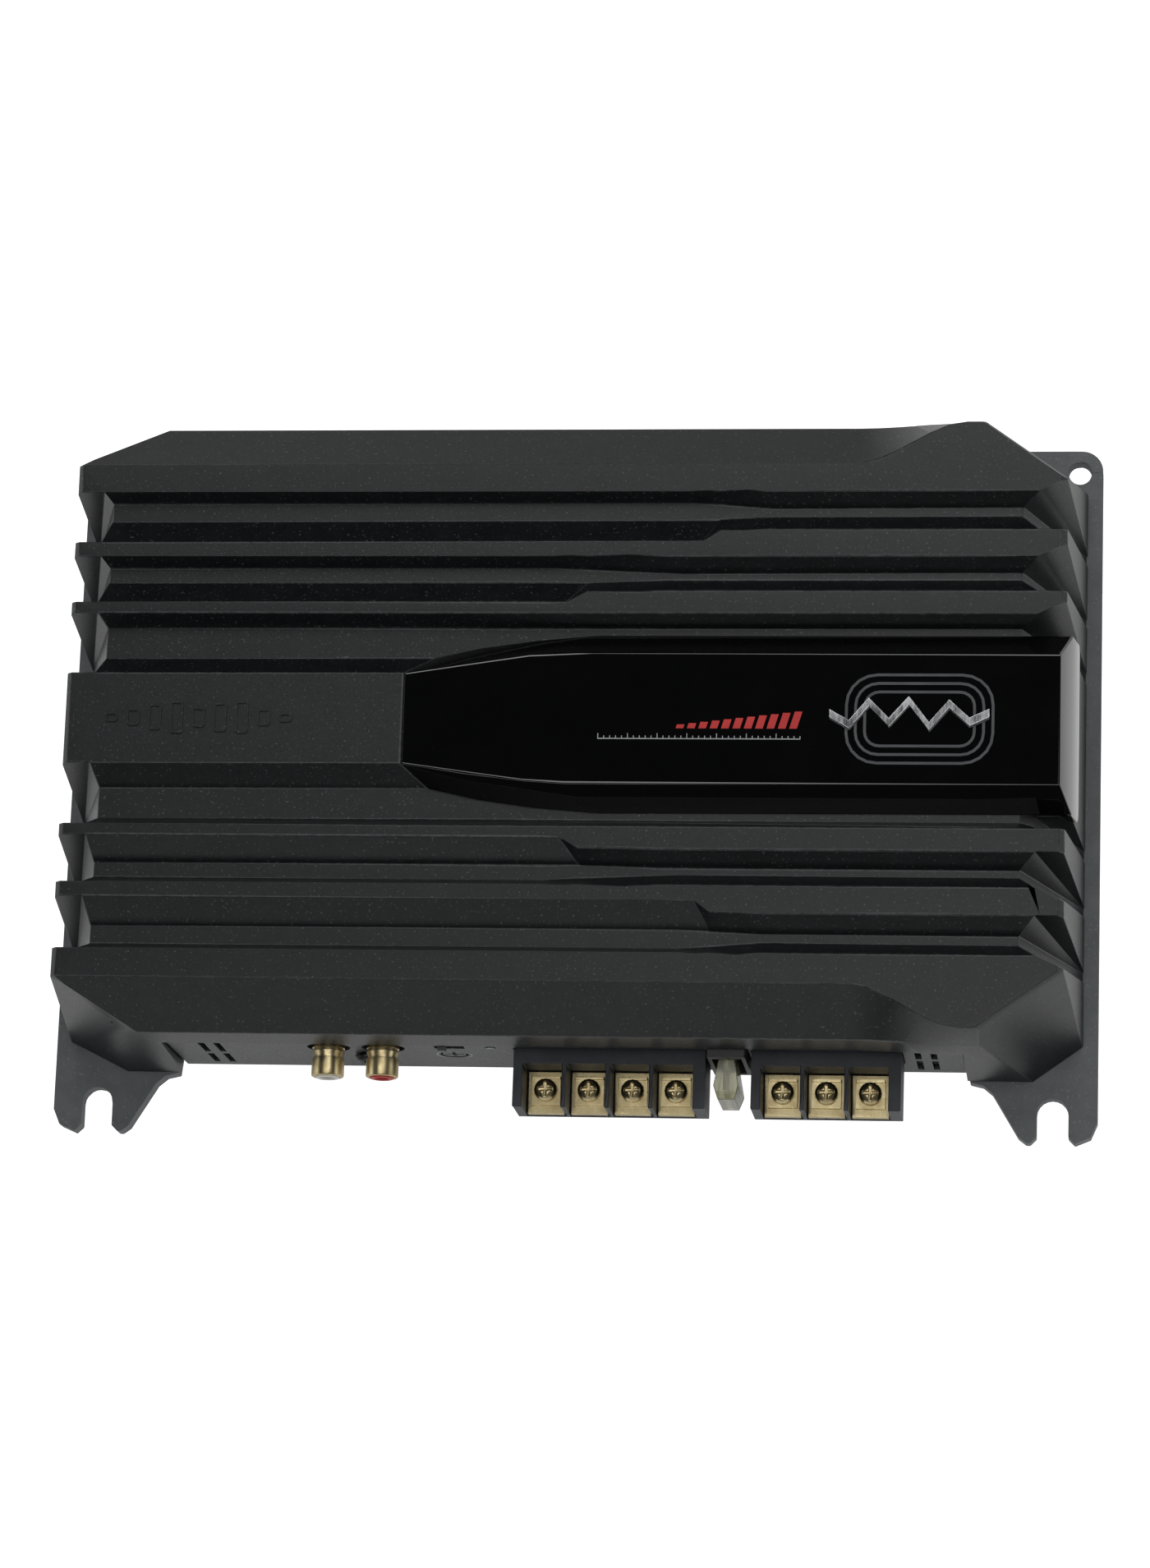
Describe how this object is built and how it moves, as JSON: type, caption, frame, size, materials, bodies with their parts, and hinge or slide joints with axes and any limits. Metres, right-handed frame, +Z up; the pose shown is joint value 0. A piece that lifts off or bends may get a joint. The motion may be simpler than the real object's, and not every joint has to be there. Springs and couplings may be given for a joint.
{
  "type": "car amplifier",
  "caption": "Car amplifier with a ribbed heat-sink cover, slotted mounting feet, input jacks, screw terminals, a filter switch, a level control and a pull-out blade fuse.",
  "frame": {"origin": "middle of the footprint, on the surface that the base flange lies on", "axes": "+X along the length, -Y towards the terminals and jacks, +Z up through the cover"},
  "size_m": [0.2696, 0.1834, 0.056],
  "materials": {
    "cover_casting": "fine-grained black paint on a die casting",
    "base_casting": "fine-grained black paint on a casting",
    "trim_gloss": "polished black moulding",
    "emblem_chrome": "bright plated ornament",
    "bottom_plate": "zinc-plated sheet",
    "panel_paint": "satin grey paint on folded steel",
    "black_plastic": "black moulding",
    "white_plastic": "white moulding",
    "red_plastic": "red moulding",
    "terminal_plastic": "blue-black moulding",
    "gold_plate": "gold plating",
    "black_screw": "blackened steel",
    "indicator_lens": "dark red light pipe",
    "level_plastic": "black moulding",
    "fuse_clear": "clear yellowish plastic",
    "fuse_link": "stamped zinc",
    "clamp_bar": "plain aluminium bar",
    "board": "green solder mask",
    "winding": "enamelled copper wire",
    "sleeve": "dark shrink sleeve"
  },
  "bodies": {
    "case": {"top_cover": "cover_casting", "trim_panel": "trim_gloss", "trim_emblem": "emblem_chrome", "base_flange": "base_casting", "bottom_plate": "bottom_plate", "case_screw_1": "black_screw", "case_screw_2": "black_screw", "case_screw_3": "black_screw", "case_screw_4": "black_screw", "connection_panel": "panel_paint", "jack_shell_left": "gold_plate", "jack_insulator_left": "white_plastic", "jack_contact_left": "gold_plate", "jack_shell_right": "gold_plate", "jack_insulator_right": "red_plastic", "jack_contact_right": "gold_plate", "jack_housing": "black_plastic", "jack_screw": "black_screw", "switch_body": "black_plastic", "level_body": "black_plastic", "indicator_lens": "indicator_lens", "speaker_terminal_block": "terminal_plastic", "power_terminal_block": "terminal_plastic", "terminal_plate_1": "gold_plate", "terminal_plate_2": "gold_plate", "terminal_plate_3": "gold_plate", "terminal_plate_4": "gold_plate", "terminal_plate_5": "gold_plate", "terminal_plate_6": "gold_plate", "terminal_plate_7": "gold_plate", "fuse_socket": "black_plastic", "circuit_board": "board", "transformer_core": "winding", "capacitor_1": "sleeve", "capacitor_2": "sleeve", "capacitor_3": "sleeve", "power_transistor_1": "black_plastic", "power_transistor_2": "black_plastic", "transistor_bar": "clamp_bar"},
    "filter_slider": {"switch_slider": "black_plastic"},
    "level_knob": {"level_rotor": "level_plastic"},
    "fuse": {"fuse_body": "fuse_clear", "fuse_element": "fuse_link"},
    "clamp_1": {"terminal_washer_1": "gold_plate"},
    "screw_1": {"terminal_screw_1": "gold_plate"},
    "clamp_2": {"terminal_washer_2": "gold_plate"},
    "screw_2": {"terminal_screw_2": "gold_plate"},
    "clamp_3": {"terminal_washer_3": "gold_plate"},
    "screw_3": {"terminal_screw_3": "gold_plate"},
    "clamp_4": {"terminal_washer_4": "gold_plate"},
    "screw_4": {"terminal_screw_4": "gold_plate"},
    "clamp_5": {"terminal_washer_5": "gold_plate"},
    "screw_5": {"terminal_screw_5": "gold_plate"},
    "clamp_6": {"terminal_washer_6": "gold_plate"},
    "screw_6": {"terminal_screw_6": "gold_plate"},
    "clamp_7": {"terminal_washer_7": "gold_plate"},
    "screw_7": {"terminal_screw_7": "gold_plate"}
  },
  "joints": [
    {"name": "filter_switch", "type": "slide", "parent": "case", "child": "filter_slider", "axis": [1, 0, 0], "range_m": [0, 0.0036]},
    {"name": "level_control", "type": "hinge", "parent": "case", "child": "level_knob", "pos_m": [-0.0284, -0.07285, 0.0178], "axis": [0, 1, 0], "range_deg": [-140, 140]},
    {"name": "fuse_pull", "type": "slide", "parent": "case", "child": "fuse", "axis": [0, -1, 0], "range_m": [0, 0.018]},
    {"name": "terminal_1_lift", "type": "slide", "parent": "case", "child": "clamp_1", "axis": [0, 0, 1], "range_m": [0, 0.0024]},
    {"name": "terminal_1_turn", "type": "hinge", "parent": "clamp_1", "child": "screw_1", "pos_m": [-0.0046, -0.08195, 0.0179], "axis": [0, 0, 1], "range_deg": [0, 1081]},
    {"name": "terminal_2_lift", "type": "slide", "parent": "case", "child": "clamp_2", "axis": [0, 0, 1], "range_m": [0, 0.0024]},
    {"name": "terminal_2_turn", "type": "hinge", "parent": "clamp_2", "child": "screw_2", "pos_m": [0.0065, -0.08195, 0.0179], "axis": [0, 0, 1], "range_deg": [0, 1081]},
    {"name": "terminal_3_lift", "type": "slide", "parent": "case", "child": "clamp_3", "axis": [0, 0, 1], "range_m": [0, 0.0024]},
    {"name": "terminal_3_turn", "type": "hinge", "parent": "clamp_3", "child": "screw_3", "pos_m": [0.0176, -0.08195, 0.0179], "axis": [0, 0, 1], "range_deg": [0, 1081]},
    {"name": "terminal_4_lift", "type": "slide", "parent": "case", "child": "clamp_4", "axis": [0, 0, 1], "range_m": [0, 0.0024]},
    {"name": "terminal_4_turn", "type": "hinge", "parent": "clamp_4", "child": "screw_4", "pos_m": [0.0287, -0.08195, 0.0179], "axis": [0, 0, 1], "range_deg": [0, 1081]},
    {"name": "terminal_5_lift", "type": "slide", "parent": "case", "child": "clamp_5", "axis": [0, 0, 1], "range_m": [0, 0.0024]},
    {"name": "terminal_5_turn", "type": "hinge", "parent": "clamp_5", "child": "screw_5", "pos_m": [0.05575, -0.08195, 0.0179], "axis": [0, 0, 1], "range_deg": [0, 1081]},
    {"name": "terminal_6_lift", "type": "slide", "parent": "case", "child": "clamp_6", "axis": [0, 0, 1], "range_m": [0, 0.0024]},
    {"name": "terminal_6_turn", "type": "hinge", "parent": "clamp_6", "child": "screw_6", "pos_m": [0.06685, -0.08195, 0.0179], "axis": [0, 0, 1], "range_deg": [0, 1081]},
    {"name": "terminal_7_lift", "type": "slide", "parent": "case", "child": "clamp_7", "axis": [0, 0, 1], "range_m": [0, 0.0024]},
    {"name": "terminal_7_turn", "type": "hinge", "parent": "clamp_7", "child": "screw_7", "pos_m": [0.07795, -0.08195, 0.0179], "axis": [0, 0, 1], "range_deg": [0, 1081]}
  ],
  "couplings": [
    {"joint": "terminal_1_turn", "follows": "terminal_1_lift", "rad_per_m": 7854},
    {"joint": "terminal_2_turn", "follows": "terminal_2_lift", "rad_per_m": 7854},
    {"joint": "terminal_3_turn", "follows": "terminal_3_lift", "rad_per_m": 7854},
    {"joint": "terminal_4_turn", "follows": "terminal_4_lift", "rad_per_m": 7854},
    {"joint": "terminal_5_turn", "follows": "terminal_5_lift", "rad_per_m": 7854},
    {"joint": "terminal_6_turn", "follows": "terminal_6_lift", "rad_per_m": 7854},
    {"joint": "terminal_7_turn", "follows": "terminal_7_lift", "rad_per_m": 7854}
  ]
}
